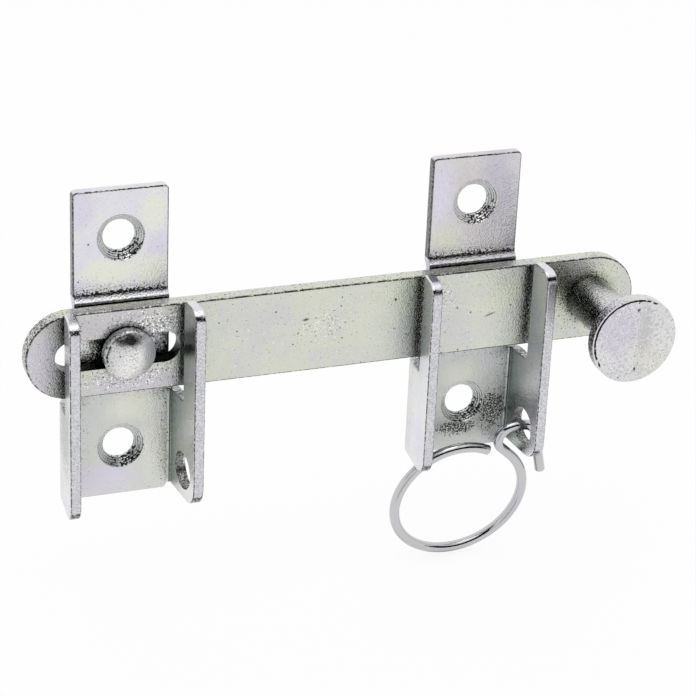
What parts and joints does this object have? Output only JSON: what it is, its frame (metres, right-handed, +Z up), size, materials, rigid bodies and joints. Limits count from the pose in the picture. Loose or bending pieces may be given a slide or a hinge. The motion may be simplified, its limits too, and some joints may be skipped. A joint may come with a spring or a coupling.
{
  "type": "gate bar latch",
  "caption": "Slide-and-lift bar latch: flat slotted bar with a pull knob in folded sheet brackets, with a wire ring that hangs in the keeper's eye.",
  "frame": {"origin": "on the wall plane, midway between the two screw holes of the left (pivot) bracket", "axes": "+X along the bar towards the knob, +Y into the wall, +Z up"},
  "size_m": [0.179, 0.0401, 0.1269],
  "materials": {
    "bracket_sheet": "bright zinc plate on folded sheet",
    "bar_flat": "bright zinc plate on flat bar",
    "rivet_head": "bright zinc plate on a formed head",
    "turned_knob": "bright zinc plate on turned steel",
    "ring_wire": "bright zinc plate on drawn wire"
  },
  "bodies": {
    "brackets": {"pivot_bracket": "bracket_sheet", "keeper_bracket": "bracket_sheet"},
    "pivot": {"pivot_rivet": "rivet_head"},
    "bar": {"latch_bar": "bar_flat", "pull_knob": "turned_knob"},
    "ring": {"locking_ring": "ring_wire"}
  },
  "joints": [
    {"name": "bar_lift", "type": "hinge", "parent": "brackets", "child": "pivot", "pos_m": [0, -0.0075, 0.00075], "axis": [0, -1, 0], "range_deg": [-1.5, 9.5]},
    {"name": "bar_slide", "type": "slide", "parent": "pivot", "child": "bar", "axis": [1, 0, 0], "range_m": [-0.0085, 0.0153]},
    {"name": "ring_swing", "type": "hinge", "parent": "brackets", "child": "ring", "pos_m": [0.11908, -0.01257, -0.03615], "axis": [-1, 0, 0], "range_deg": [0, 134]}
  ]
}
